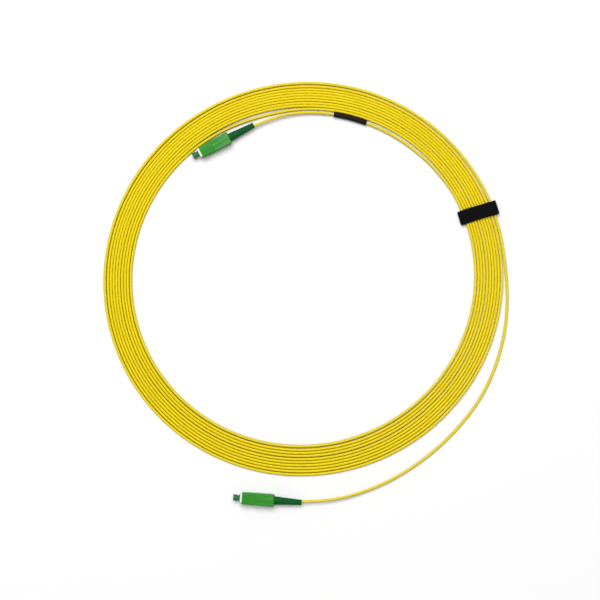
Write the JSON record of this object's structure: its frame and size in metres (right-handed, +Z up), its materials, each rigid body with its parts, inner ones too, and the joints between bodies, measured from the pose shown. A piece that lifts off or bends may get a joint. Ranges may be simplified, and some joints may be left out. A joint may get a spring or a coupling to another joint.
{
  "type": "fibre optic patch cord",
  "caption": "Long thin round cord, wound in a flat ring and tied with a strap, with a square push-pull plug, tapered boot and dust cap on each end.",
  "frame": {"origin": "middle of the whole piece's box, on the surface that the coil lies on", "axes": "+Z up out of the coil's plane; +Y along the longest side, from the outer plug towards the inner one; +X towards the side where the strap ties the ring"},
  "size_m": [0.3147, 0.3304, 0.0092],
  "materials": {
    "grip": "satin moulded",
    "plug_frame": "satin moulded",
    "ceramic": "polished",
    "hub_metal": "nickel plated",
    "buffer": "smooth",
    "spring_steel": "drawn wire",
    "yarn": "fibres",
    "crimp_metal": "pressed",
    "boot": "matt",
    "cap": "smooth, soft",
    "jacket": "satin extruded",
    "sleeve": "satin tube",
    "strap": "loop pile"
  },
  "bodies": {
    "root": {"frame_a": "plug_frame", "rear_body_a": "plug_frame", "spring_a": "spring_steel", "yarn_a": "yarn", "crimp_sleeve_a": "crimp_metal", "boot_a": "boot", "frame_b": "plug_frame", "rear_body_b": "plug_frame", "spring_b": "spring_steel", "yarn_b": "yarn", "crimp_sleeve_b": "crimp_metal", "boot_b": "boot", "cord_coil": "jacket", "cord_tail_a": "jacket", "cord_tail_b": "jacket", "marker_sleeve": "sleeve", "tie_strap": "strap"},
    "grip_a": {"grip_a": "grip"},
    "ferrule_a": {"ferrule_a": "ceramic", "ferrule_hub_a": "hub_metal", "fibre_a": "buffer"},
    "cap_a": {"dust_cap_a": "cap"},
    "grip_b": {"grip_b": "grip"},
    "ferrule_b": {"ferrule_b": "ceramic", "ferrule_hub_b": "hub_metal", "fibre_b": "buffer"},
    "cap_b": {"dust_cap_b": "cap"}
  },
  "joints": [
    {"name": "grip_pull_a", "type": "slide", "parent": "root", "child": "grip_a", "axis": [0.8886, 0.4587, 0], "range_m": [0, 0.0022]},
    {"name": "ferrule_push_a", "type": "slide", "parent": "root", "child": "ferrule_a", "axis": [0.8886, 0.4587, 0], "range_m": [0, 0.001], "stiffness_N_per_m": 1500, "deforming": ["spring_a"]},
    {"name": "cap_off_a", "type": "slide", "parent": "root", "child": "cap_a", "axis": [-0.8886, -0.4587, 0], "range_m": [0, 0.012]},
    {"name": "grip_pull_b", "type": "slide", "parent": "root", "child": "grip_b", "axis": [0.9972, -0.075, 0], "range_m": [0, 0.0022]},
    {"name": "ferrule_push_b", "type": "slide", "parent": "root", "child": "ferrule_b", "axis": [0.9972, -0.075, 0], "range_m": [0, 0.001], "stiffness_N_per_m": 1500, "deforming": ["spring_b"]},
    {"name": "cap_off_b", "type": "slide", "parent": "root", "child": "cap_b", "axis": [-0.9972, 0.075, 0], "range_m": [0, 0.012]}
  ]
}
